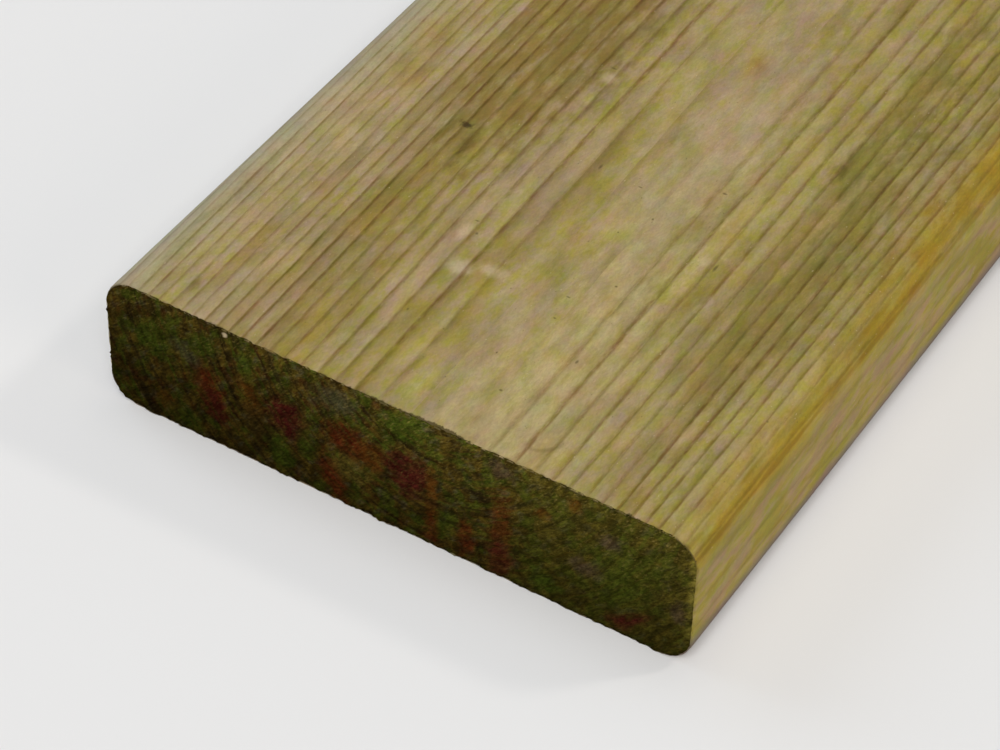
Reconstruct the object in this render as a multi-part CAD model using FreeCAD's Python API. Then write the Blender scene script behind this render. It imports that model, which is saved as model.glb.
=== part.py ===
import FreeCAD, Part
import math
import os

# A smooth softwood decking board: one piece of sawn timber, planed on its four
# long sides, with a rounded arris along each long corner and both ends cut square.
# Millimetres. +X runs across the width, +Y along the grain, +Z up, and the origin
# is the middle of the face that the board lies on.

board_length = 1800.0
board_width = 120.0
board_thickness = 29.0
arris_radius = 6.0

half_width = board_width / 2
sawn_end_y = -board_length / 2

# The four arrises in order round the section: which side of the board each is on
# (-1 left, +1 right), whether it is low or high, and where its quarter turn starts.
arrises = [
    ("right", "low", -90.0),
    ("right", "high", 0.0),
    ("left", "high", 90.0),
    ("left", "low", 180.0),
]


def arris_centre(side, height):
    """Centre of one corner's rounding, at the sawn end."""
    inset_x = half_width - arris_radius
    centre_x = inset_x if side == "right" else -inset_x
    centre_z = board_thickness - arris_radius if height == "high" else arris_radius
    return FreeCAD.Vector(centre_x, sawn_end_y, centre_z)


def point_on_arris(centre, degrees):
    """Point of the section on one rounded corner, its angle counted from +X towards +Z."""
    turn = math.radians(degrees)
    reach = FreeCAD.Vector(math.cos(turn), 0, math.sin(turn))
    return centre + reach * arris_radius


def planed_section():
    """The board's cross-section: four planed sides joined by four quarter rounds."""
    rounds = []
    for side, height, start in arrises:
        centre = arris_centre(side, height)
        rounds.append([point_on_arris(centre, start + turn) for turn in (0, 45, 90)])

    edges = []
    for index, (first, middle, last) in enumerate(rounds):
        next_first = rounds[(index + 1) % len(rounds)][0]
        edges.append(Part.Arc(first, middle, last).toShape())
        edges.append(Part.LineSegment(last, next_first).toShape())
    return Part.Face(Part.Wire(edges))


def sawn_board():
    """The section carried along the grain from one square cut to the other."""
    return planed_section().extrude(FreeCAD.Vector(0, board_length, 0))


os.makedirs("parts", exist_ok=True)

board = sawn_board()
board.exportStep("parts/board.step")

box = board.BoundBox
print(f"board: {box.XLength:.1f} x {box.YLength:.1f} x {box.ZLength:.1f} mm, "
      f"{board.Volume / 1e6:.3f} litres, valid {board.isValid()}")
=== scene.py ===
import math

import bmesh
import bpy
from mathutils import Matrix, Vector


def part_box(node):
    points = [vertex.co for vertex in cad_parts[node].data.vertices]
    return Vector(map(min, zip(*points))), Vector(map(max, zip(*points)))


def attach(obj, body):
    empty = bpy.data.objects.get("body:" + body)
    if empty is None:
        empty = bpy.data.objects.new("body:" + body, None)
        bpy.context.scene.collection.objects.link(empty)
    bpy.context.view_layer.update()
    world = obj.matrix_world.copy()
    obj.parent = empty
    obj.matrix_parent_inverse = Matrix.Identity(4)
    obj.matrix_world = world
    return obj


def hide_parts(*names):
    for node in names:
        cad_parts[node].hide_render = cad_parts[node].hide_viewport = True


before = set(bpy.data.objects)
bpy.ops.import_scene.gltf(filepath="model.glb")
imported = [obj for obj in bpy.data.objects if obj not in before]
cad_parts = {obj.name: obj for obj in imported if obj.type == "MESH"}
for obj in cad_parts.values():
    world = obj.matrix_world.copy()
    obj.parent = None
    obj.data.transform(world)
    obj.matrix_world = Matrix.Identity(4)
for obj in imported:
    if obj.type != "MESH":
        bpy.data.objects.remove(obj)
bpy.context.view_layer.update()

# The decking board: one piece of treated softwood. Lengths are in metres, with
# patterns worked out in millimetres from the near left corner of the underside.
MM = 0.001
low_corner, high_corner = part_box("board")
board_width = high_corner.x - low_corner.x
board_length = high_corner.y - low_corner.y
board_thickness = high_corner.z - low_corner.z
arris_radius = 6 * MM
near_end_y = low_corner.y

# How finely the skin is divided. Relief needs about half a millimetre across the
# grain, and along it only where the saw has torn it or the camera is near.
section_columns = 240
side_rows = 34
arris_steps = 12
torn_edge, torn_cells = 3 * MM, 6
edge_strip, edge_cells = 12 * MM, 6
close_stretch, close_cells = 145 * MM, 29
long_stretch_cells = 60


def edit(piece):
    """Goes into edit mode on one piece, with nothing else selected."""
    bpy.ops.object.select_all(action="DESELECT")
    bpy.context.view_layer.objects.active = piece
    piece.select_set(True)
    bpy.ops.object.mode_set(mode="EDIT")


def leave_edit():
    bpy.ops.object.mode_set(mode="OBJECT")


def pick(piece, kind, wanted):
    """In edit mode, selects just the vertices, edges or faces that wanted() says."""
    bpy.ops.mesh.select_mode(type={"verts": "VERT", "edges": "EDGE", "faces": "FACE"}[kind])
    bpy.ops.mesh.select_all(action="DESELECT")
    body = bmesh.from_edit_mesh(piece.data)
    for part in getattr(body, kind):
        if wanted(part):
            part.select_set(True)
    body.select_flush_mode()
    bmesh.update_edit_mesh(piece.data)


def middle(edge):
    return (edge.verts[0].co + edge.verts[1].co) / 2


def runs_along_grain(edge):
    return abs(edge.verts[0].co.y - edge.verts[1].co.y) > 0.1 * MM


# The board's shape
def sawn_section():
    """The face of the near sawn end: a grid, widened row by row into the four round arrises."""
    flat_height = board_thickness - 2 * arris_radius
    bpy.ops.object.select_all(action="DESELECT")
    bpy.ops.mesh.primitive_grid_add(
        x_subdivisions=section_columns,
        y_subdivisions=side_rows,
        size=1,
        location=(0, near_end_y, board_thickness / 2),
        rotation=(math.radians(90), 0, 0),
    )
    piece = bpy.context.object
    piece.name = "sawn_board"
    piece.scale = (board_width, flat_height, 1)
    bpy.ops.object.transform_apply(location=True, rotation=True, scale=True)

    half_flat = board_width / 2 - arris_radius
    turns = [math.radians(90) * step / arris_steps for step in range(arris_steps + 1)]
    for up in (1, -1):
        rim_z = board_thickness / 2 + up * flat_height / 2
        edit(piece)
        pick(piece, "edges", lambda edge: abs(middle(edge).z - rim_z) < 0.01 * MM)
        for before, after in zip(turns, turns[1:]):
            rise = up * arris_radius * (math.sin(after) - math.sin(before))
            half_before = half_flat + arris_radius * math.cos(before)
            half_after = half_flat + arris_radius * math.cos(after)
            bpy.ops.mesh.extrude_edges_move(TRANSFORM_OT_translate={"value": (0, 0, rise)})
            bpy.ops.transform.resize(value=(half_after / half_before, 1, 1))
        leave_edit()
    return piece


def divide_length(piece, start, end, cells):
    """Cuts the long edges between two distances from the near end into equal cells."""
    def in_stretch(edge):
        place = middle(edge).y - near_end_y
        return runs_along_grain(edge) and start < place < end

    pick(piece, "edges", in_stretch)
    if cells > 1:
        bpy.ops.mesh.subdivide(number_cuts=cells - 1)


def cut_across(piece, distance):
    """One cut right through the board's skin, at a distance from the near end."""
    bpy.ops.mesh.select_all(action="SELECT")
    bpy.ops.mesh.bisect(plane_co=(0, near_end_y + distance, 0), plane_no=(0, 1, 0))


def planed_board():
    """The sawn face carried along the grain, closed at the far end, and divided for its relief."""
    piece = sawn_section()
    edit(piece)
    bpy.ops.mesh.select_mode(type="FACE")
    bpy.ops.mesh.select_all(action="SELECT")
    bpy.ops.mesh.extrude_region_move(TRANSFORM_OT_translate={"value": (0, board_length, 0)})
    stretches = [
        (torn_edge, torn_cells),
        (edge_strip, edge_cells),
        (close_stretch, close_cells),
        (board_length - 2 * (torn_edge + edge_strip) - close_stretch, long_stretch_cells),
        (edge_strip, edge_cells),
        (torn_edge, torn_cells),
    ]
    start = 0.0
    borders = []
    for length, cells in stretches:
        borders.append((start, start + length, cells))
        start += length
    for _, end, _ in borders[:-1]:
        cut_across(piece, end)
    for begin, end, cells in borders:
        divide_length(piece, begin, end, cells)
    bpy.ops.mesh.select_all(action="SELECT")
    bpy.ops.mesh.remove_doubles(threshold=0.001 * MM)
    bpy.ops.mesh.normals_make_consistent(inside=False)
    leave_edit()
    return piece


# Patterns. Each is written once, with nodes that a mesh's relief and a material's
# colour both know, so that the ridges and the lines lie in the same places.
class Pattern:
    """Adds nodes to one node tree. A value may be a number, a tuple or another node's socket."""

    def __init__(self, tree):
        self.tree = tree

    def add(self, kind, **settings):
        node = self.tree.nodes.new(kind)
        for name, value in settings.items():
            setattr(node, name, value)
        return node

    def put(self, socket, value):
        if isinstance(value, bpy.types.NodeSocket):
            self.tree.links.new(value, socket)
        else:
            socket.default_value = value

    def maths(self, operation, first, second=0.0):
        node = self.add("ShaderNodeMath", operation=operation)
        self.put(node.inputs[0], first)
        self.put(node.inputs[1], second)
        return node.outputs[0]

    def plus(self, *values):
        total = values[0]
        for value in values[1:]:
            total = self.maths("ADD", total, value)
        return total

    def times(self, *values):
        total = values[0]
        for value in values[1:]:
            total = self.maths("MULTIPLY", total, value)
        return total

    def minus(self, first, second):
        return self.maths("SUBTRACT", first, second)

    def vector(self, operation, first, second=(0, 0, 0)):
        node = self.add("ShaderNodeVectorMath", operation=operation)
        self.put(node.inputs[0], first)
        self.put(node.inputs[1], second)
        return node.outputs["Value" if operation == "LENGTH" else "Vector"]

    def split(self, vector):
        node = self.add("ShaderNodeSeparateXYZ")
        self.put(node.inputs[0], vector)
        return node.outputs["X"], node.outputs["Y"], node.outputs["Z"]

    def join(self, x, y, z):
        node = self.add("ShaderNodeCombineXYZ")
        self.put(node.inputs["X"], x)
        self.put(node.inputs["Y"], y)
        self.put(node.inputs["Z"], z)
        return node.outputs[0]

    def fade(self, value, low, high, at_low=0.0, at_high=1.0):
        """Goes smoothly from at_low to at_high as value goes from low to high."""
        node = self.add("ShaderNodeMapRange", interpolation_type="SMOOTHSTEP")
        self.put(node.inputs["Value"], value)
        self.put(node.inputs["From Min"], low)
        self.put(node.inputs["From Max"], high)
        self.put(node.inputs["To Min"], at_low)
        self.put(node.inputs["To Max"], at_high)
        return node.outputs["Result"]

    def noise(self, place, size, detail=2.0, roughness=0.5, shift=0.0):
        """Soft noise from 0 to 1 about 0.5, its spots about size = (across, along, up) millimetres."""
        scaled = self.vector("MULTIPLY", place, tuple(1 / length for length in size))
        moved = self.vector("ADD", scaled, (shift, shift * 1.7, shift * 0.6))
        node = self.add("ShaderNodeTexNoise", noise_dimensions="3D")
        self.put(node.inputs["Vector"], moved)
        node.inputs["Scale"].default_value = 1.0
        node.inputs["Detail"].default_value = detail
        node.inputs["Roughness"].default_value = roughness
        return node.outputs[0]

    def tints(self, place, size, detail=2.0, roughness=0.5, shift=0.0):
        """The same noise three times over, as a colour that wavers about middle grey."""
        self.noise(place, size, detail, roughness, shift)
        return self.tree.nodes[-1].outputs[1]

    def swing(self, place, size, amount, detail=2.0, roughness=0.5, shift=0.0):
        """Noise about zero: mostly within plus and minus amount."""
        value = self.noise(place, size, detail, roughness, shift)
        return self.times(self.minus(value, 0.5), 4 * amount)

    def mix(self, share, first, second, blend="MIX"):
        node = self.add("ShaderNodeMix", data_type="RGBA", blend_type=blend)
        node.clamp_factor = True
        self.put(node.inputs[0], share)
        self.put(node.inputs[6], first)
        self.put(node.inputs[7], second)
        return node.outputs[2]


def seen(red, green, blue):
    """A colour as a screen shows it, 0 to 255, in the renderer's terms."""
    def linear(level):
        level /= 255
        return level / 12.92 if level <= 0.04045 else ((level + 0.055) / 1.055) ** 2.4

    return (linear(red), linear(green), linear(blue), 1.0)


# Growth rings, in millimetres from the near left corner. The pith ran just above
# the walking face, a little right of its middle, so the rings hang below it as
# wide open Us: close lines near both arrises and a broad flat-sawn middle.
pith_across, pith_up = 68.5, 39.0
pith_sway, sway_length = 2.8, 1600.0
ring_swell = 0.05
rings_per_mm, rings_closing, rings_start = 0.196, 0.00217, -0.45
ring_seed = 25.75

# How the rings wander: size of the wave, how far it swings, its detail and its shift.
ring_waves = [
    ((70, 600, 70), 0.7, 1, 0.0),
    ((12, 80, 12), 0.18, 1, 3.1),
    ((2.0, 8.0, 2.0), 0.05, 3, 7.7),
]

# Latewood through one ring, 0 to 1: a broad shade that ends in a thin dark line.
# The weakest ring has faintest of full strength, and the wood round the pith less.
shade_begins, line_begins, line_full, line_ends = 0.4, 0.75, 0.96, 0.13
line_share, shade_share = 0.73, 0.27
faintest = 0.5
young_reach, grown_reach, young_strength = 11.5, 15.0, 0.15


def from_corner(pattern, position):
    """A position on the board in millimetres: across, along the grain, and up."""
    in_mm = pattern.vector("MULTIPLY", position, (1 / MM, 1 / MM, 1 / MM))
    return pattern.vector("ADD", in_mm, tuple(-c / MM for c in (low_corner.x, near_end_y, 0)))


def growth_rings(pattern, place):
    """How far into latewood a point is, 0 to 1, its ring's number, and its reach from the pith."""
    across, along, up = pattern.split(place)
    sway = pattern.maths("SINE", pattern.times(along, 2 * math.pi / sway_length))
    aside = pattern.minus(across, pattern.minus(pith_across, pattern.times(sway, pith_sway)))
    below = pattern.minus(pith_up, up)
    reach = pattern.vector("LENGTH", pattern.join(aside, below, 0.0))
    reach = pattern.times(reach, pattern.minus(1.0, pattern.times(sway, ring_swell)))
    for size, amount, detail, shift in ring_waves:
        reach = pattern.plus(reach, pattern.swing(place, size, amount, detail, shift=shift))
    count = pattern.plus(
        pattern.times(reach, rings_per_mm),
        pattern.times(reach, reach, rings_closing),
        rings_start,
    )
    through = pattern.maths("FRACT", count)
    number = pattern.maths("FLOOR", count)
    ending = pattern.fade(through, 0.0, line_ends, 1.0, 0.0)
    line = pattern.maths("MAXIMUM", pattern.fade(through, line_begins, line_full), ending)
    shade = pattern.maths("MAXIMUM", pattern.fade(through, shade_begins, line_full), ending)
    latewood = pattern.plus(pattern.times(line, line_share), pattern.times(shade, shade_share))
    # The line at a ring's end belongs to the ring before it.
    of_ring = pattern.minus(number, pattern.maths("LESS_THAN", through, line_ends))
    chance = pattern.add("ShaderNodeTexWhiteNoise", noise_dimensions="1D")
    pattern.put(chance.inputs["W"], pattern.plus(of_ring, ring_seed))
    strength = pattern.fade(chance.outputs["Value"], 0.0, 1.0, faintest, 1.0)
    young = pattern.fade(reach, young_reach, grown_reach, young_strength, 1.0)
    return pattern.times(latewood, strength, young), number, reach


# Marks on the walking face that the photograph shows near the sawn end: across, along,
# half width, half length and depth in millimetres, and a pale dent's share of paleness.
pale_dents = [
    (46.4, 45.2, 1.3, 2.6, 0.32, 0.65),
    (50.8, 36.6, 2.8, 2.2, 0.24, 0.80),
    (56.4, 38.8, 3.6, 1.8, 0.16, 0.50),
    (46.0, 96.4, 2.0, 1.9, 0.22, 0.40),
    (86.4, 61.4, 1.8, 1.5, 0.20, 0.40),
]
dark_pricks = [
    (80.5, 27.0, 0.35, 0.7, 0.18),
    (88.6, 61.0, 0.4, 1.5, 0.20),
    (72.8, 66.2, 0.3, 0.4, 0.14),
    (69.4, 59.8, 0.25, 0.3, 0.12),
    (57.6, 73.5, 0.4, 1.2, 0.14),
    (49.1, 22.3, 0.25, 0.5, 0.12),
    (48.6, 45.6, 0.4, 0.5, 0.14),
    (46.8, 48.6, 0.7, 0.25, 0.10),
    (70.8, 40.3, 0.6, 0.25, 0.12),
    (76.4, 47.2, 0.4, 0.35, 0.12),
    (71.6, 34.4, 0.4, 0.3, 0.12),
    (67.8, 21.5, 0.25, 0.4, 0.12),
    (73.3, 14.0, 0.5, 0.4, 0.12),
    (66.5, 72.6, 0.6, 0.25, 0.10),
    (45.2, 99.3, 0.9, 0.3, 0.14),
    (80.2, 79.4, 0.7, 0.4, 0.12),
]
knot = (30.9, 70.3, 1.9, 1.2, 0.25)

# A dent's paleness reaches this many times as far as its hollow.
pale_spread = 1.3

# The hooked mark: a quarter of a circle, by its centre across and along, and its radius.
hook = (84.4, 9.2, 4.4)

# Resin lines on the right arris: across, up, how far their gold spreads, and strength.
resin_lines = [
    (117.8, 27.7, 5.0, 0.75),
    (119.4, 25.3, 4.0, 1.0),
]

# Where the ring lines are darkest, and where the sawn edge is bitten deepest, across.
brown_band, olive_band, deep_bite = 32.0, 105.0, 68.0


def spot(pattern, place, across, along, half_across, half_along, inner=0.0, wobble=None):
    """An oval on the walking face: 1 inside, fading to 0 at its border and below the face."""
    depth_reach = 9.0
    away = pattern.vector("SUBTRACT", place, (across, along, board_thickness / MM))
    away = pattern.vector("MULTIPLY", away, (1 / half_across, 1 / half_along, 1 / depth_reach))
    distance = pattern.vector("LENGTH", away)
    if wobble is not None:
        distance = pattern.plus(distance, wobble)
    return pattern.fade(distance, inner, 1.0, 1.0, 0.0)


# Depths of the relief, in millimetres: of the planed faces, of the torn ends, and of
# the crumbled edges. The saw tears less near the outline, so the skin never folds.
ridge_depth, planer_depth, hollow_depth, lifted_depth = 0.02, 0.02, 0.12, 0.07
fur_depth, tuft_depth, ring_depth = 1.2, 0.8, 0.12
crumb_reach, crumb_depth = 1.6, 0.3
torn_at_outline, torn_inside, outline_reach = 0.62, 2.5, 2.0
far_end_noise = 4000.0


def beside(pattern, across, centre):
    """Distance in millimetres to either side of a line that runs along the grain."""
    return pattern.maths("ABSOLUTE", pattern.minus(across, centre))


def planed_height(pattern, place, latewood):
    """How far the planed faces lie under the true size, in millimetres, never above zero."""
    ridge = pattern.times(pattern.minus(latewood, 1.0), ridge_depth)
    waves = pattern.noise(place, (7, 3.4, 7), 1)
    planer = pattern.times(pattern.minus(waves, 1.0), planer_depth)
    hollows = pattern.noise(place, (22, 90, 22), 1)
    hollow = pattern.times(pattern.minus(hollows, 1.0), hollow_depth)
    across, _, _ = pattern.split(place)
    flat_sawn = pattern.fade(beside(pattern, across, pith_across), 8.0, 22.0, 1.0, 0.25)
    flakes = pattern.noise(place, (2.4, 3.6, 2.4), 2, shift=14.0)
    lifted = pattern.fade(flakes, 0.35, 0.65, -lifted_depth, 0.0)
    height = pattern.plus(ridge, planer, hollow, pattern.times(lifted, flat_sawn))
    for mark in pale_dents + dark_pricks + [knot]:
        mark_across, mark_along, half_across, half_along, depth = mark[:5]
        dent = spot(pattern, place, mark_across, mark_along, half_across, half_along)
        height = pattern.minus(height, pattern.times(dent, depth))
    return height


def from_ends(pattern, along):
    """Distance in millimetres from the nearer sawn end."""
    return pattern.maths("MINIMUM", along, pattern.minus(board_length / MM, along))


def from_outline(pattern, across, up):
    """Distance in millimetres inwards from the outline of the board's section."""
    half_width, half_height = board_width / MM / 2, board_thickness / MM / 2
    radius = arris_radius / MM
    aside = pattern.maths("ABSOLUTE", pattern.minus(across, half_width))
    above = pattern.maths("ABSOLUTE", pattern.minus(up, half_height))
    past_side = pattern.minus(aside, half_width - radius)
    past_top = pattern.minus(above, half_height - radius)
    corner = pattern.join(
        pattern.maths("MAXIMUM", past_side, 0.0),
        pattern.maths("MAXIMUM", past_top, 0.0),
        0.0,
    )
    within = pattern.maths("MINIMUM", pattern.maths("MAXIMUM", past_side, past_top), 0.0)
    return pattern.minus(radius, pattern.plus(pattern.vector("LENGTH", corner), within))


def slanted(pattern, place):
    """The same place with the saw's slant: its first direction leans over to the right."""
    across, along, up = pattern.split(place)
    half_root = math.sqrt(0.5)
    return pattern.join(
        pattern.times(pattern.plus(across, up), half_root),
        along,
        pattern.times(pattern.minus(up, across), half_root),
    )


def torn_height(pattern, flat_place, latewood):
    """How far the saw has torn the end grain back, in millimetres, never above zero."""
    fibres = pattern.noise(slanted(pattern, flat_place), (1.8, 500, 0.8), 3, 0.65)
    tufts = pattern.noise(flat_place, (3.5, 500, 3.0), 2, shift=4.2)
    height = pattern.plus(
        pattern.times(pattern.minus(fibres, 0.72), fur_depth),
        pattern.times(pattern.minus(tufts, 0.7), tuft_depth),
        pattern.times(pattern.minus(latewood, 1.0), ring_depth),
    )
    return pattern.maths("MINIMUM", height, 0.0)


def raise_grain(piece):
    """Presses the softer wood, the dents and the torn ends into the mesh itself.

    The far end is torn like the near one, from a place of its own in the same noise.
    """
    tree = bpy.data.node_groups.new("raised_grain", "GeometryNodeTree")
    for way in ("INPUT", "OUTPUT"):
        tree.interface.new_socket("Geometry", in_out=way, socket_type="NodeSocketGeometry")
    pattern = Pattern(tree)
    mesh_in = pattern.add("NodeGroupInput").outputs[0]
    position = pattern.add("GeometryNodeInputPosition").outputs[0]
    normal = pattern.add("GeometryNodeInputNormal").outputs["Normal"]
    place = from_corner(pattern, position)
    across, along, up = pattern.split(place)
    latewood, _, _ = growth_rings(pattern, place)
    from_end = from_ends(pattern, along)
    on_end = pattern.maths("LESS_THAN", from_end, 0.01)
    nearer_far = pattern.maths("GREATER_THAN", along, board_length / MM / 2)
    flat_place = pattern.join(across, pattern.times(nearer_far, far_end_noise), up)

    planed = planed_height(pattern, place, latewood)
    crumbling = pattern.fade(from_end, 0.0, crumb_reach, crumb_depth, 0.0)
    crumbs = pattern.noise(place, (1.6, 5, 1.6), 2, shift=2.4)
    planed = pattern.minus(planed, pattern.times(crumbling, pattern.fade(crumbs, 0.4, 0.8)))
    torn = torn_height(pattern, flat_place, latewood)
    inwards = from_outline(pattern, across, up)
    deepest = pattern.fade(inwards, 0.0, outline_reach, -torn_at_outline, -torn_inside)
    torn = pattern.maths("MAXIMUM", torn, deepest)
    height = pattern.plus(
        pattern.times(torn, on_end),
        pattern.times(planed, pattern.minus(1.0, on_end)),
    )
    height = pattern.times(height, MM)
    offset = pattern.vector("MULTIPLY", normal, pattern.join(height, height, height))
    moved = pattern.add("GeometryNodeSetPosition")
    pattern.put(moved.inputs["Geometry"], mesh_in)
    pattern.put(moved.inputs["Offset"], offset)
    pattern.put(pattern.add("NodeGroupOutput").inputs[0], moved.outputs["Geometry"])

    bpy.ops.object.select_all(action="DESELECT")
    bpy.context.view_layer.objects.active = piece
    piece.select_set(True)
    modifier = piece.modifiers.new("raised_grain", "NODES")
    modifier.node_group = tree
    bpy.ops.object.modifier_apply(modifier=modifier.name)
    bpy.data.node_groups.remove(tree)


# Colours of the finishes, as a screen shows them
cream = seen(180, 163, 116)
mauve_tan = seen(157, 137, 99)
mauve = seen(163, 138, 120)
pale_mauve = seen(172, 149, 118)
yellow_tan = seen(149, 138, 62)
# Paler grey for the painted cool sheen on the left arris.
sheen_grey_tan = seen(165, 156, 129)
# The next two are painted shade, low on the flanks and on the low arrises.
low_flank_shade_tan = seen(134, 120, 100)
low_arris_shade_mauve = seen(108, 94, 90)
rosy_tan = seen(155, 128, 92)
olive_gold = seen(143, 129, 38)
lime = seen(146, 143, 30)
moss = seen(112, 108, 42)
brown = seen(126, 106, 46)
dark_brown = seen(108, 86, 36)
dark_olive = seen(88, 76, 24)
shade_olive = seen(113, 99, 38)
ochre = seen(130, 104, 24)
gold = seen(149, 125, 30)
straw = seen(154, 138, 52)
pale_wood = seen(190, 171, 138)
pore = seen(80, 70, 34)
knot_brown = seen(62, 45, 12)
green_line = seen(186, 180, 118)
brown_line = seen(196, 172, 150)

soaked_brown = seen(43, 33, 11)
soaked_olive = seen(63, 51, 15)
soaked_moss = seen(47, 56, 13)
soaked_grey = seen(60, 56, 38)
soaked_dark = seen(30, 23, 10)
soaked_even = seen(50, 48, 13)
soaked_red = seen(66, 28, 11)
soaked_maroon = seen(57, 21, 15)
soaked_orange = seen(70, 42, 12)
soaked_mauve = seen(60, 47, 36)
# Pale soak for one patch, and the painted highlight on the end's right border.
pale_soak_and_rim_highlight = seen(104, 94, 38)
soaked_tip = seen(88, 76, 38)
hem_olive = seen(66, 55, 20)

# Broad stains on the walking face: place, half size, strength and colour.
stains = [
    (32.5, 40.0, 12.0, 90.0, 0.45, brown),
    (105.5, 80.0, 9.0, 90.0, 0.60, shade_olive),
    (98.0, 126.0, 9.0, 52.0, 0.60, shade_olive),
    (116.5, 108.0, 8.0, 75.0, 0.65, ochre),
    (12.0, 60.0, 10.0, 50.0, 0.45, pale_mauve),
    (72.0, 98.0, 14.0, 30.0, 0.55, mauve),
    (30.0, 105.0, 9.0, 35.0, 0.25, dark_brown),
    (40.0, 108.0, 14.0, 58.0, 0.62, dark_brown),
    (95.6, 99.0, 4.2, 8.5, 0.70, moss),
    (95.2, 96.0, 1.3, 7.0, 0.70, dark_olive),
    (98.0, 107.0, 2.8, 9.0, 0.75, moss),
    (101.0, 90.0, 6.0, 40.0, 0.35, moss),
    (6.5, 30.0, 2.0, 46.0, 0.35, moss),
    (33.7, 65.0, 2.5, 9.0, 1.00, dark_olive),
    (28.7, 65.5, 1.0, 7.0, 0.90, dark_brown),
    (31.0, 72.0, 2.4, 3.4, 0.50, brown),
    (14.5, 7.5, 1.8, 3.2, 0.55, dark_brown),
    (14.0, 77.0, 5.0, 6.0, 0.45, ochre),
    (39.0, 98.0, 4.0, 7.5, 0.60, ochre),
    (40.0, 78.0, 3.0, 9.0, 0.60, ochre),
    (67.0, 115.0, 4.0, 7.0, 0.50, ochre),
    (70.5, 60.0, 3.2, 4.4, 0.55, lime),
    (69.5, 86.0, 3.0, 4.0, 0.60, lime),
    (71.5, 13.0, 3.0, 5.0, 0.45, lime),
    (57.0, 118.0, 4.0, 8.0, 0.45, lime),
    (79.0, 8.0, 18.0, 70.0, 0.55, cream),
    (76.0, 75.0, 16.0, 45.0, 0.35, cream),
]


def new_finish(name):
    material = bpy.data.materials.new(name)
    material.use_nodes = True
    tree = material.node_tree
    surface = tree.nodes["Principled BSDF"]
    pattern = Pattern(tree)
    place = from_corner(pattern, pattern.add("ShaderNodeTexCoord").outputs["Object"])
    return material, pattern, surface, place


def bump(pattern, surface, height_mm, strength=1.0):
    node = pattern.add("ShaderNodeBump")
    node.inputs["Strength"].default_value = strength
    node.inputs["Distance"].default_value = MM
    pattern.put(node.inputs["Height"], height_mm)
    pattern.put(surface.inputs["Normal"], node.outputs["Normal"])


def shaded(pattern, colour, shade):
    """A colour made darker or lighter by a number."""
    return pattern.mix(1.0, colour, pattern.join(shade, shade, shade), "MULTIPLY")


def stained(pattern, place, in_ring, colour):
    """The broad stains and the pale dents, which only the walking face near the sawn end has."""
    wobble = pattern.swing(place, (2.2, 6, 2.2), 0.35, 3, 0.6, shift=8.1)
    ruffle = pattern.swing(place, (1.0, 1.2, 1.0), 0.12, 3, 0.6, shift=3.8)
    breaks = pattern.noise(in_ring, (2.5, 8, 2.5), 4, 0.6, shift=12.4)
    patchy = pattern.fade(breaks, 0.35, 0.6, 0.4, 1.2)
    for across, along, half_across, half_along, strength, stain in stains:
        share = spot(pattern, place, across, along, half_across, half_along, 0.1, wobble)
        colour = pattern.mix(pattern.times(share, strength, patchy), colour, stain)

    # A brown streak that begins past the close marks and runs on along the grain.
    across, along, up = pattern.split(place)
    streak = pattern.times(
        pattern.fade(across, 21.5, 22.5),
        pattern.fade(across, 34.0, 48.0, 1.0, 0.0),
        pattern.fade(along, 50.0, 82.0),
        pattern.fade(up, 15.0, 24.0),
        patchy,
    )
    colour = pattern.mix(pattern.times(streak, 0.7), colour, brown)

    for across, along, half_across, half_along, _, paleness in pale_dents:
        wide, long = half_across * pale_spread, half_along * pale_spread
        share = spot(pattern, place, across, along, wide, long, 0.15, ruffle)
        colour = pattern.mix(pattern.times(share, paleness), colour, pale_wood)
    return colour


def pricked(pattern, place, colour):
    """The small dark pricks, the one pin knot and the hooked mark."""
    for across, along, half_across, half_along, _ in dark_pricks:
        share = spot(pattern, place, across, along, half_across, half_along, 0.2)
        colour = pattern.mix(pattern.times(share, 0.7), colour, pore)
    across, along, half_across, half_along, _ = knot
    ruffle = pattern.swing(place, (0.8, 0.9, 0.8), 0.4, 3, 0.6, shift=12.8)
    share = spot(pattern, place, across, along, half_across, half_along, 0.15, ruffle)
    colour = pattern.mix(share, colour, knot_brown)

    hook_across, hook_along, hook_radius = hook
    across, along, _ = pattern.split(place)
    away = pattern.vector("SUBTRACT", place, (hook_across, hook_along, board_thickness / MM))
    off_curve = beside(pattern, pattern.vector("LENGTH", away), hook_radius)
    curve = pattern.times(
        pattern.fade(off_curve, 0.0, 0.8, 1.0, 0.0),
        pattern.fade(across, hook_across - 1.0, hook_across + 0.5),
        pattern.fade(along, hook_along - 1.0, hook_along + 0.5, 1.0, 0.0),
    )
    return pattern.mix(pattern.times(curve, 0.35), colour, pore)


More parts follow.
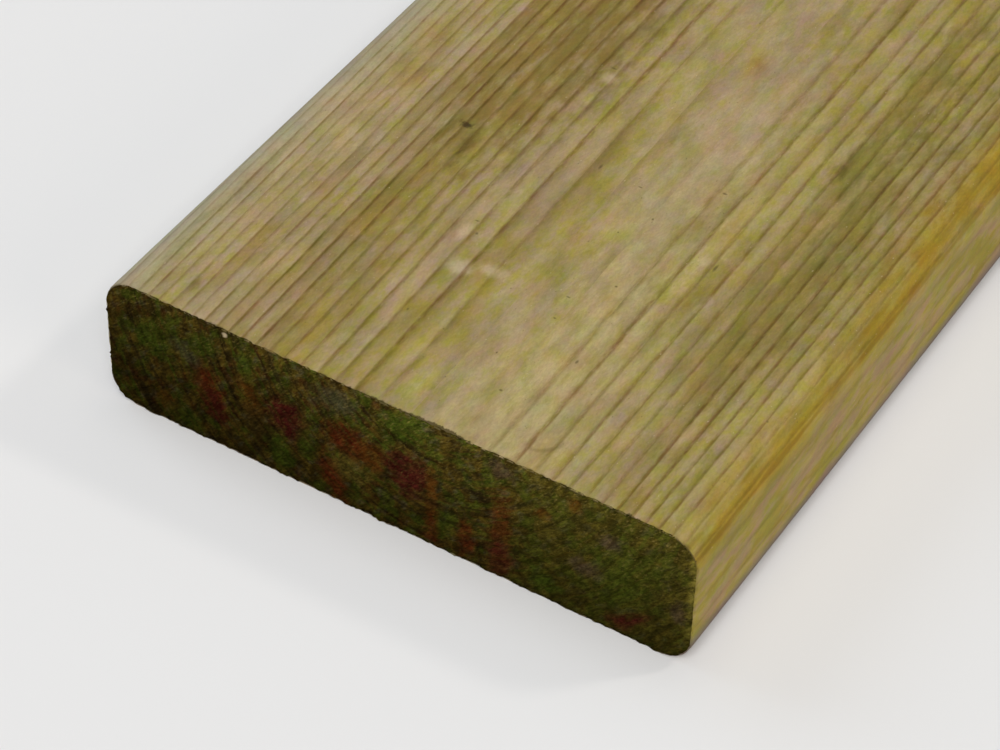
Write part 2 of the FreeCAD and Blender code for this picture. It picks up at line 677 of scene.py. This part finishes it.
def clouded(pattern, place, in_ring):
    """Planed wood before its marks: tan, clouded with mauve, yellow, lime, cream and brown."""
    across, _, up = pattern.split(place)
    clouds = pattern.noise(in_ring, (2.2, 4.4, 2.2), 4, 0.64, shift=1.3)
    colour = pattern.mix(pattern.fade(clouds, 0.37, 0.63), mauve_tan, yellow_tan)

    # The broad flat-sawn middle is calmer than the rest.
    lively = pattern.fade(beside(pattern, across, pith_across), 8.0, 30.0, 0.42, 1.0)
    patches = pattern.noise(place, (2.4, 3.8, 2.4), 3, 0.6, shift=5.9)
    greener = pattern.times(pattern.fade(patches, 0.5, 0.76, 0.0, 0.6), lively)
    colour = pattern.mix(greener, colour, lime)
    rosy = pattern.noise(place, (2.7, 4.6, 2.7), 3, 0.6, shift=27.3)
    rosier = pattern.times(pattern.fade(rosy, 0.48, 0.7, 0.0, 0.7), lively)
    colour = pattern.mix(rosier, colour, mauve)
    bleached = pattern.noise(in_ring, (2.8, 8.0, 2.8), 4, 0.6, shift=9.3)
    colour = pattern.mix(pattern.fade(bleached, 0.52, 0.75, 0.0, 0.5), colour, cream)
    browning = pattern.noise(place, (13, 90, 13), 3, shift=5.5)
    colour = pattern.mix(pattern.fade(browning, 0.48, 0.75, 0.0, 0.75), colour, brown)
    blushing = pattern.noise(place, (9, 34, 9), 3, 0.6, shift=23.7)
    blush = pattern.fade(blushing, 0.44, 0.66, 0.0, 0.45)
    blush = pattern.times(blush, pattern.fade(across, 60.0, 96.0, 1.0, 0.35))
    colour = pattern.mix(blush, colour, mauve)
    colour = pattern.mix(pattern.fade(blushing, 0.48, 0.32, 0.0, 0.22), colour, straw)

    # Whole rings drift darker or rosier for a few centimetres at a time.
    mood = pattern.noise(in_ring, (9, 45, 9), 2, shift=33.1)
    deep_shade = pattern.mix(pattern.fade(across, 50.0, 80.0), brown, shade_olive)
    colour = pattern.mix(pattern.fade(mood, 0.5, 0.68, 0.0, 0.45), colour, deep_shade)
    colour = pattern.mix(pattern.fade(mood, 0.48, 0.32, 0.0, 0.3), colour, mauve_tan)

    # The left arris has a painted sheen: paler and greyer, as the cool light from the left lights it,
    # more so higher up. The right of the board is yellower.
    painted_cool_sheen = pattern.fade(across, 2.5, 13.0, 1.0, 0.0)
    painted_cool_sheen = pattern.times(painted_cool_sheen, pattern.fade(up, 8.0, 20.0, 0.4, 1.0))
    colour = pattern.mix(pattern.times(painted_cool_sheen, 0.85), colour, sheen_grey_tan)
    yellowing = pattern.plus(
        pattern.fade(across, 74.0, 92.0, 0.0, 0.1),
        pattern.fade(across, 109.0, 119.0, 0.0, 0.35),
    )
    return pattern.mix(yellowing, colour, straw)


def flanked(pattern, place, colour):
    """The flanks, golden and rosy in patches, with painted shade low down: duller towards the floor and
    mauve grey on the low arrises.
    """
    across, _, up = pattern.split(place)
    mottle = pattern.noise(place, (5.5, 10, 4.0), 4, 0.6, shift=41.0)
    flank = pattern.fade(up, 19.0, 25.0, 1.0, 0.0)
    flank = pattern.times(flank, pattern.fade(across, 20.0, 100.0, 0.4, 1.0))
    golden = pattern.times(pattern.fade(mottle, 0.45, 0.62, 0.0, 0.85), flank)
    colour = pattern.mix(golden, colour, olive_gold)
    rosy = pattern.times(pattern.fade(mottle, 0.53, 0.38, 0.0, 0.85), flank)
    colour = pattern.mix(rosy, colour, rosy_tan)
    # Painted shade under the board: the flanks go duller towards the floor and the low arrises mauve
    # grey.
    colour = pattern.mix(pattern.fade(up, 2.0, 7.5, 0.75, 0.0), colour, low_flank_shade_tan)
    aside = beside(pattern, across, board_width / MM / 2)
    low_arris_shade = pattern.times(pattern.fade(up, 4.4, 8.2, 0.9, 0.0), pattern.fade(aside, 54.0, 57.0))
    return pattern.mix(low_arris_shade, colour, low_arris_shade_mauve)


def resinous(pattern, place, colour):
    """Two resin-rich rings that come out along the right arris as ochre lines in a golden band."""
    across, _, up = pattern.split(place)
    seep = pattern.fade(pattern.noise(place, (3, 16, 3), 3, shift=6.6), 0.4, 0.6, 0.08, 1.0)
    for resin_across, resin_up, halo_reach, core_share in resin_lines:
        away = pattern.join(pattern.minus(across, resin_across), pattern.minus(up, resin_up), 0.0)
        waver = pattern.swing(place, (3, 12, 3), 0.35, 2, shift=resin_up)
        off_line = pattern.plus(pattern.vector("LENGTH", away), waver)
        halo = pattern.times(pattern.fade(off_line, 0.6, halo_reach, 0.7, 0.0), seep)
        colour = pattern.mix(halo, colour, gold)
        core = pattern.times(
            pattern.fade(off_line, 0.1, 0.8, core_share, 0.0),
            pattern.fade(seep, 0.25, 1.0, 0.6, 1.0),
        )
        colour = pattern.mix(core, colour, ochre)
    return colour


def line_strength(pattern, place, latewood):
    """Latewood as a planed face shows it: broken up, fainter on the flanks, darker in two bands."""
    across, _, up = pattern.split(place)
    lining = pattern.noise(place, (1.1, 5.5, 1.1), 5, 0.75, shift=4.4)
    on_side = pattern.fade(up, 22.0, 26.0, 0.5, 1.0)
    strongest = pattern.maths(
        "MAXIMUM",
        pattern.fade(beside(pattern, across, brown_band), 4.0, 12.0, 1.3, 1.0),
        pattern.fade(beside(pattern, across, olive_band), 5.0, 11.0, 1.25, 1.0),
    )
    whole = pattern.fade(lining, 0.34, 0.62, 0.4, 1.0)
    return pattern.times(latewood, whole, on_side, strongest)


def end_hem(pattern, place):
    """The ends drink the treatment: how far a point is into the ragged dark hem beside one."""
    across, along, up = pattern.split(place)
    ragged = pattern.plus(
        pattern.swing(place, (0.7, 30, 0.7), 0.36, 3, 0.7, shift=7.2),
        pattern.swing(place, (9, 60, 9), 0.3, 1, shift=3.6),
        pattern.fade(beside(pattern, across, deep_bite), 4.0, 9.0, -0.45, 0.0),
    )
    from_end = from_ends(pattern, along)
    hem = pattern.fade(pattern.plus(from_end, ragged), 0.3, 0.65, 0.9, 0.0)
    # Where the saw has pulled the edge in, the steep strip is as dark as the end.
    crumbled = pattern.times(
        pattern.fade(from_outline(pattern, across, up), 0.1, 0.3, 0.0, 0.9),
        pattern.fade(from_end, 0.8, 1.3, 1.0, 0.0),
    )
    return pattern.times(pattern.maths("MAXIMUM", hem, crumbled), pattern.fade(up, 20.0, 27.5, 0.3, 1.0))


def planed_softwood():
    """Pressure treated softwood as planed: clouded tan, its marks, and thin dark ring lines."""
    material, pattern, surface, place = new_finish("planed_softwood")
    latewood, number, _ = growth_rings(pattern, place)

    # Each ring took the treatment in its own way, so the clouds break at the lines.
    apart = pattern.join(pattern.times(number, 4.7), pattern.times(number, 23.0), 0.0)
    in_ring = pattern.vector("ADD", place, apart)
    colour = clouded(pattern, place, in_ring)
    colour = stained(pattern, place, in_ring, colour)
    colour = flanked(pattern, place, colour)
    colour = resinous(pattern, place, colour)
    depth = pattern.noise(in_ring, (4, 14, 4), 3, 0.6, shift=3.3)
    colour = shaded(pattern, colour, pattern.fade(depth, 0.3, 0.7, 0.88, 1.1))

    lines = line_strength(pattern, place, latewood)
    tinge = pattern.noise(in_ring, (2, 6, 2), 2, shift=1.9)
    line_shade = pattern.mix(pattern.fade(tinge, 0.42, 0.58), brown_line, green_line)
    colour = pattern.mix(lines, colour, line_shade, "MULTIPLY")
    colour = pricked(pattern, place, colour)

    fibres = pattern.noise(place, (0.34, 0.8, 0.34), 2, 0.6, shift=6.1)
    colour = shaded(pattern, colour, pattern.fade(fibres, 0.2, 0.8, 0.89, 1.1))
    grains = pattern.tints(place, (0.8, 2.0, 0.8), 3, 0.7, shift=17.0)
    colour = pattern.mix(0.14, colour, grains, "SOFT_LIGHT")
    drifts = pattern.tints(place, (3.6, 7.0, 3.6), 2, 0.5, shift=51.0)
    colour = pattern.mix(0.2, colour, drifts, "SOFT_LIGHT")
    flecks = pattern.noise(place, (0.45, 0.9, 0.45), 1, 0.5, shift=21.0)
    colour = pattern.mix(pattern.fade(flecks, 0.74, 0.82, 0.0, 0.5), colour, pale_wood)
    colour = pattern.mix(pattern.fade(flecks, 0.26, 0.18, 0.0, 0.5), colour, pore)
    colour = pattern.mix(end_hem(pattern, place), colour, hem_olive)
    pattern.put(surface.inputs["Base Color"], colour)

    pattern.put(surface.inputs["Roughness"], pattern.fade(fibres, 0.2, 0.8, 0.66, 0.82))
    surface.inputs["Specular IOR Level"].default_value = 0.2
    bump(pattern, surface, pattern.plus(pattern.times(fibres, 0.035), pattern.times(lines, -0.02)))
    return material


# Patches on the near sawn end: across, up, half width, half height, lean, strength, colour.
end_patches = [
    (22.0, 12.0, 3.6, 7.0, 15, 0.80, soaked_red),
    (23.0, 9.0, 2.2, 5.0, 15, 0.75, soaked_maroon),
    (30.6, 15.0, 2.4, 6.0, 15, 0.75, soaked_orange),
    (32.0, 9.0, 2.8, 6.0, 15, 0.70, soaked_brown),
    (38.5, 14.0, 4.0, 5.5, 20, 0.90, soaked_maroon),
    (47.8, 5.0, 2.6, 6.5, 15, 0.80, soaked_red),
    (12.5, 5.0, 4.0, 2.2, -40, 0.60, soaked_orange),
    (51.5, 15.5, 5.5, 3.8, -15, 0.95, soaked_red),
    (56.0, 14.5, 3.2, 4.0, 0, 0.70, soaked_orange),
    (51.5, 9.0, 4.2, 3.4, 0, 0.25, pale_soak_and_rim_highlight),
    (63.0, 14.5, 5.2, 5.5, 0, 0.80, soaked_maroon),
    (68.2, 11.0, 1.4, 8.5, 0, 0.75, soaked_orange),
    (68.6, 4.0, 1.5, 4.0, 0, 0.60, soaked_red),
    (75.3, 5.5, 1.9, 5.5, 0, 0.70, soaked_red),
    (82.2, 12.0, 2.4, 8.5, 0, 0.60, soaked_red),
    (82.0, 4.0, 3.0, 5.0, 0, 0.60, soaked_maroon),
    (108.0, 4.6, 4.6, 1.6, 38, 0.95, soaked_maroon),
    (106.0, 2.6, 3.0, 2.2, 0, 0.55, soaked_maroon),
    (77.0, 17.5, 3.4, 1.4, -15, 0.80, soaked_dark),
    (71.0, 10.5, 8.0, 1.2, 0, 0.50, soaked_dark),
    (17.0, 19.0, 3.6, 1.8, -25, 0.60, soaked_grey),
    (48.5, 24.0, 5.0, 3.4, 0, 0.55, soaked_grey),
    (10.0, 19.0, 4.5, 5.0, 0, 0.75, soaked_moss),
    (21.0, 23.0, 3.5, 3.0, 0, 0.60, soaked_moss),
    (30.0, 22.5, 2.0, 4.0, 0, 0.60, soaked_moss),
    (16.5, 3.0, 4.0, 2.8, -20, 0.75, soaked_moss),
    (37.0, 5.0, 2.8, 4.6, 20, 0.90, soaked_moss),
    (42.5, 10.5, 2.4, 3.6, 0, 0.70, soaked_moss),
    (63.0, 25.0, 5.5, 4.0, 0, 0.80, soaked_moss),
    (71.0, 6.0, 2.0, 3.0, 0, 0.60, soaked_moss),
    (91.0, 4.0, 4.0, 2.8, -30, 0.75, soaked_moss),
    (106.0, 13.0, 7.0, 9.0, 0, 0.50, soaked_moss),
    (103.0, 20.4, 2.4, 2.0, 0, 0.60, soaked_mauve),
    (99.2, 12.0, 3.0, 2.4, 0, 0.55, soaked_mauve),
    (117.0, 11.5, 1.8, 2.6, 0, 0.50, soaked_mauve),
    (81.5, 25.5, 3.0, 2.0, 0, 0.50, soaked_mauve),
    (96.3, 25.5, 1.5, 2.0, 0, 0.60, soaked_orange),
    (90.2, 19.8, 1.8, 1.5, 0, 0.50, soaked_orange),
]

# The pale chip in the near end: across, up, and its reach.
pale_chip = (25.6, 27.6, 0.75)

# The near end's own patches go no further along the grain than this.
near_end_reach = 10.0


def soaked(pattern, place, reach, tufts):
    """End grain soaked with the treatment, in tufts, clouds and streaks that follow the rings."""
    across, _, up = pattern.split(place)
    leaning = slanted(pattern, place)
    colour = pattern.mix(pattern.fade(tufts, 0.3, 0.7, 0.1, 0.9), soaked_brown, soaked_olive)
    clouds = pattern.noise(place, (3.6, 500, 4.0), 2, 0.55, shift=6.8)
    colour = pattern.mix(pattern.fade(clouds, 0.48, 0.64, 0.0, 0.7), colour, soaked_moss)
    greys = pattern.noise(leaning, (3.0, 500, 1.8), 2, 0.55, shift=15.3)
    colour = pattern.mix(pattern.fade(greys, 0.52, 0.68, 0.0, 0.6), colour, soaked_grey)
    darks = pattern.noise(leaning, (3.2, 500, 1.8), 3, 0.6, shift=19.3)
    colour = pattern.mix(pattern.fade(darks, 0.5, 0.7, 0.0, 0.5), colour, soaked_dark)
    streaks = pattern.noise(round_the_pith(pattern, place, reach), (1.2, 1.0, 1.0), 3, 0.6, shift=5.2)
    colour = pattern.mix(pattern.fade(streaks, 0.5, 0.66, 0.0, 0.7), colour, soaked_dark)
    colour = pattern.mix(pattern.fade(streaks, 0.47, 0.33, 0.0, 0.6), colour, soaked_moss)
    rusts = pattern.noise(place, (3.0, 500, 3.0), 2, 0.55, shift=31.0)
    rust = pattern.fade(rusts, 0.54, 0.68, 0.0, 0.25)
    rust = pattern.times(rust, pattern.fade(across, 60.0, 90.0, 1.0, 0.1))
    colour = pattern.mix(rust, colour, soaked_red)
    return pattern.mix(pattern.fade(across, 76.0, 94.0, 0.0, 0.5), colour, soaked_even)


def round_the_pith(pattern, place, reach):
    """A place whose first direction crosses the rings, so that its noise runs along them."""
    across, _, up = pattern.split(place)
    return pattern.join(reach, pattern.times(across, 0.07), pattern.times(up, 0.07))


def patched(pattern, place, reach, near_end, colour):
    """The near end's own patches, each an oval that leans, with a broken border."""
    across, _, up = pattern.split(place)
    wobble = pattern.swing(slanted(pattern, place), (2.6, 500, 1.8), 0.5, 4, 0.65, shift=8.1)
    breaks = pattern.noise(round_the_pith(pattern, place, reach), (1.4, 1.2, 1.2), 4, 0.65, shift=9.4)
    broken = pattern.fade(breaks, 0.34, 0.58, 0.6, 1.25)
    for patch_across, patch_up, half_width, half_height, lean, strength, soak in end_patches:
        away = pattern.join(pattern.minus(across, patch_across), pattern.minus(up, patch_up), 0.0)
        turned = pattern.add("ShaderNodeVectorRotate", rotation_type="Z_AXIS")
        pattern.put(turned.inputs["Vector"], away)
        turned.inputs["Angle"].default_value = math.radians(-lean)
        scaled = pattern.vector("MULTIPLY", turned.outputs[0], (1 / half_width, 1 / half_height, 0))
        distance = pattern.plus(pattern.vector("LENGTH", scaled), wobble)
        share = pattern.times(pattern.fade(distance, 0.35, 1.3, strength, 0.0), broken, near_end)
        colour = pattern.mix(share, colour, soak)
    return colour


def sawn_end_grain():
    """The sawn ends: soaked dark by the treatment, mossy and red brown, and furry from the saw."""
    material, pattern, surface, place = new_finish("sawn_end_grain")
    across, along, up = pattern.split(place)
    latewood, _, reach = growth_rings(pattern, place)
    leaning = slanted(pattern, place)
    fur = pattern.noise(leaning, (1.2, 500, 0.45), 3, 0.65)
    tufts = pattern.noise(leaning, (3.0, 500, 1.6), 3, 0.65, shift=2.2)
    far_end = pattern.maths("GREATER_THAN", along, near_end_reach)
    near_end = pattern.minus(1.0, far_end)
    colour = soaked(pattern, place, reach, tufts)
    reds = pattern.noise(place, (3.5, 500, 5.5), 3, 0.6, shift=11.4)
    red_share = pattern.times(pattern.fade(reds, 0.52, 0.66, 0.0, 0.8), far_end)
    colour = pattern.mix(red_share, colour, soaked_red)
    colour = patched(pattern, place, reach, near_end, colour)
    colour = pattern.mix(pattern.times(latewood, 0.5), colour, brown_line, "MULTIPLY")

    # The right border is a painted highlight, where the edge of the end catches the light. The tips of
    # the fur are paler, more so higher up.
    rim_highlight = pattern.times(pattern.fade(across, 117.8, 119.6, 0.0, 0.8), pattern.fade(up, 4.0, 8.0))
    rim_highlight = pattern.times(rim_highlight, pattern.fade(tufts, 0.3, 0.7, 0.2, 1.0))
    colour = pattern.mix(rim_highlight, colour, pale_soak_and_rim_highlight)
    tips = pattern.noise(leaning, (1.0, 500, 0.4), 2, 0.6, shift=36.6)
    tip_share = pattern.fade(tips, 0.54, 0.74, 0.0, 0.5)
    tip_share = pattern.times(tip_share, pattern.fade(up, 4.0, 27.0, 0.3, 1.0))
    colour = pattern.mix(tip_share, colour, soaked_tip)
    # Paler to the right and upwards, most in the top rows; a painted shade darkens the last millimetre
    # inside the outline.
    tone_and_edge_shade = pattern.times(
        pattern.fade(across, 0.0, 96.0, 0.74, 1.3),
        pattern.fade(up, 0.0, 28.0, 0.76, 1.4),
        pattern.fade(up, 22.0, 28.6, 1.0, 1.25),
        pattern.fade(from_outline(pattern, across, up), 0.1, 1.2, 0.86, 1.0),
        0.92,
    )
    shade = pattern.times(
        pattern.fade(fur, 0.28, 0.72, 0.58, 1.5),
        pattern.fade(tufts, 0.3, 0.7, 0.7, 1.3),
        tone_and_edge_shade,
    )
    colour = shaded(pattern, colour, shade)

    chip_across, chip_up, chip_reach = pale_chip
    away = pattern.join(pattern.minus(across, chip_across), pattern.minus(up, chip_up), 0.0)
    from_chip = pattern.vector("LENGTH", away)
    chip = pattern.times(pattern.fade(from_chip, chip_reach * 0.3, chip_reach, 0.8, 0.0), near_end)
    colour = pattern.mix(chip, colour, pale_wood)
    pattern.put(surface.inputs["Base Color"], colour)
    surface.inputs["Roughness"].default_value = 1.0
    surface.inputs["Specular IOR Level"].default_value = 0.0
    bump(pattern, surface, pattern.times(fur, 0.4))
    return material


def dress(piece):
    """Planed finish all over, and the end-grain finish on the two sawn faces."""
    piece.data.materials.append(planed_softwood())
    piece.data.materials.append(sawn_end_grain())
    edit(piece)
    pick(piece, "faces", lambda face: abs(face.normal.y) > 0.9)
    piece.active_material_index = 1
    bpy.ops.object.material_slot_assign()
    bpy.ops.mesh.region_to_loop()
    bpy.ops.mesh.mark_sharp()
    leave_edit()
    bpy.ops.object.shade_smooth()


def lay_out_skin(piece):
    """The map that the finish is baked through: the long skin unrolled, with the two ends beside it."""
    mesh = piece.data
    layout = mesh.uv_layers.new(name="OFBake")
    half_flat = board_width / 2 - arris_radius
    flat_height = board_thickness - 2 * arris_radius
    quarter = arris_radius * math.pi / 2
    girth = 2 * (2 * half_flat + flat_height) + 4 * quarter
    skin_share, margin_u, margin_v = 0.84, 0.005, 0.002
    gap, end_length, far_end_start = 0.01, 0.485, 0.505

    def round_the_section(x, z):
        """Distance from the middle of the underside, round by the near side, to a point."""
        side = abs(x)
        if z < arris_radius and side > half_flat:
            return half_flat + arris_radius * math.atan2(side - half_flat, arris_radius - z)
        if z < arris_radius:
            return side
        if z <= board_thickness - arris_radius:
            return half_flat + quarter + z - arris_radius
        if side > half_flat:
            over = math.atan2(z - (board_thickness - arris_radius), side - half_flat)
            return half_flat + quarter + flat_height + arris_radius * over
        return half_flat + 2 * quarter + flat_height + half_flat - side

    for face in mesh.polygons:
        on_left = face.center.x < 0
        at_near_end = face.normal.y < -0.9
        at_far_end = face.normal.y > 0.9
        for corner in face.loop_indices:
            x, y, z = mesh.vertices[mesh.loops[corner].vertex_index].co
            if at_near_end or at_far_end:
                place_u = skin_share + gap + (z / board_thickness) * (1 - skin_share - 2 * gap)
                start_v = gap if at_near_end else far_end_start
                place_v = start_v + (x - low_corner.x) / board_width * end_length
            else:
                way = round_the_section(x, z)
                way = way if on_left else girth - way
                place_u = margin_u + way / girth * (skin_share - 2 * margin_u)
                place_v = margin_v + (y - near_end_y) / board_length * (1 - 2 * margin_v)
            layout.data[corner].uv = (place_u, place_v)


board = planed_board()
lay_out_skin(board)
dress(board)
raise_grain(board)
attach(board, "root")
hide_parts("board")


# Studio. Each lamp has its name, direction, spread in degrees, level and colour.
floor_size = 30
floor_white, backdrop_white = seen(229, 229, 230), seen(228, 229, 230)
air_colour, air_strength = (0.95, 0.97, 1.0, 1.0), 0.175
lamps = [
    ("window_behind_right", (0.50, 0.52, 0.70), 6.7, 0.08, (1.0, 0.95, 0.86)),
    ("fill_front", (0.25, -0.60, 0.76), 38, 0.53, (1.0, 0.985, 0.96)),
    ("fill_left", (-0.80, 0.1, 0.60), 38, 0.115, (0.78, 0.89, 1.0)),
    ("fill_right", (0.92, -0.15, 0.36), 36, 0.06, (1.0, 0.87, 0.68)),
    ("overhead", (0.0, 0.05, 1.0), 38, 0.11, (1.0, 0.99, 0.98)),
]
camera_place = (0.2311, -1.2550, 0.4431)
camera_turns = (46.20, -1.385, 31.91)
camera_lens, camera_sensor, camera_far = 126.62, 36, 50


def studio_floor():
    bpy.ops.object.select_all(action="DESELECT")
    bpy.ops.mesh.primitive_plane_add(size=floor_size, location=(0, 0, 0))
    floor = bpy.context.object
    floor.name = "studio_floor"
    material = bpy.data.materials.new("pale_floor")
    material.use_nodes = True
    surface = material.node_tree.nodes["Principled BSDF"]
    surface.inputs["Base Color"].default_value = floor_white
    surface.inputs["Roughness"].default_value = 0.9
    surface.inputs["Specular IOR Level"].default_value = 0.1
    floor.data.materials.append(material)


def soft_lamp(name, direction, spread, level, colour):
    """A far, even lamp, spread degrees wide, that adds level times white to the floor."""
    toward_lamp = Vector(direction).normalized()
    data = bpy.data.lights.new(name, "SUN")
    data.angle = math.radians(spread)
    data.energy = level * math.pi / toward_lamp.z
    data.color = colour
    lamp = bpy.data.objects.new(name, data)
    bpy.context.scene.collection.objects.link(lamp)
    lamp.location = toward_lamp * 5
    lamp.rotation_euler = toward_lamp.to_track_quat("Z", "Y").to_euler()


def either_ray(nodes, links, first, second):
    """1 for a ray of the first or the second kind."""
    node = nodes.new("ShaderNodeMath")
    node.operation = "MAXIMUM"
    links.new(first, node.inputs[0])
    links.new(second, node.inputs[1])
    return node.outputs[0]


def studio():
    """A pale floor in soft light, with an even backdrop that only the eye sees."""
    studio_floor()
    world = bpy.data.worlds.new("studio_air")
    world.use_nodes = True
    nodes, links = world.node_tree.nodes, world.node_tree.links
    air = nodes["Background"]
    air.inputs["Color"].default_value = air_colour
    air.inputs["Strength"].default_value = air_strength
    backdrop = nodes.new("ShaderNodeBackground")
    backdrop.inputs["Color"].default_value = backdrop_white
    ray = nodes.new("ShaderNodeLightPath").outputs
    looking = either_ray(nodes, links, ray["Is Camera Ray"], ray["Is Glossy Ray"])
    looking = either_ray(nodes, links, looking, ray["Is Transmission Ray"])
    both = nodes.new("ShaderNodeMixShader")
    links.new(looking, both.inputs[0])
    links.new(air.outputs[0], both.inputs[1])
    links.new(backdrop.outputs[0], both.inputs[2])
    links.new(both.outputs[0], nodes["World Output"].inputs["Surface"])
    bpy.context.scene.world = world
    for lamp in lamps:
        soft_lamp(*lamp)


def camera():
    """A long lens above the near right corner, looking down along the board."""
    data = bpy.data.cameras.new("camera")
    data.lens = camera_lens
    data.sensor_width = camera_sensor
    data.clip_end = camera_far
    eye = bpy.data.objects.new("camera", data)
    bpy.context.scene.collection.objects.link(eye)
    eye.location = camera_place
    eye.rotation_euler = [math.radians(turn) for turn in camera_turns]
    bpy.context.scene.camera = eye


studio()
camera()
bpy.context.scene.view_settings.view_transform = "Standard"
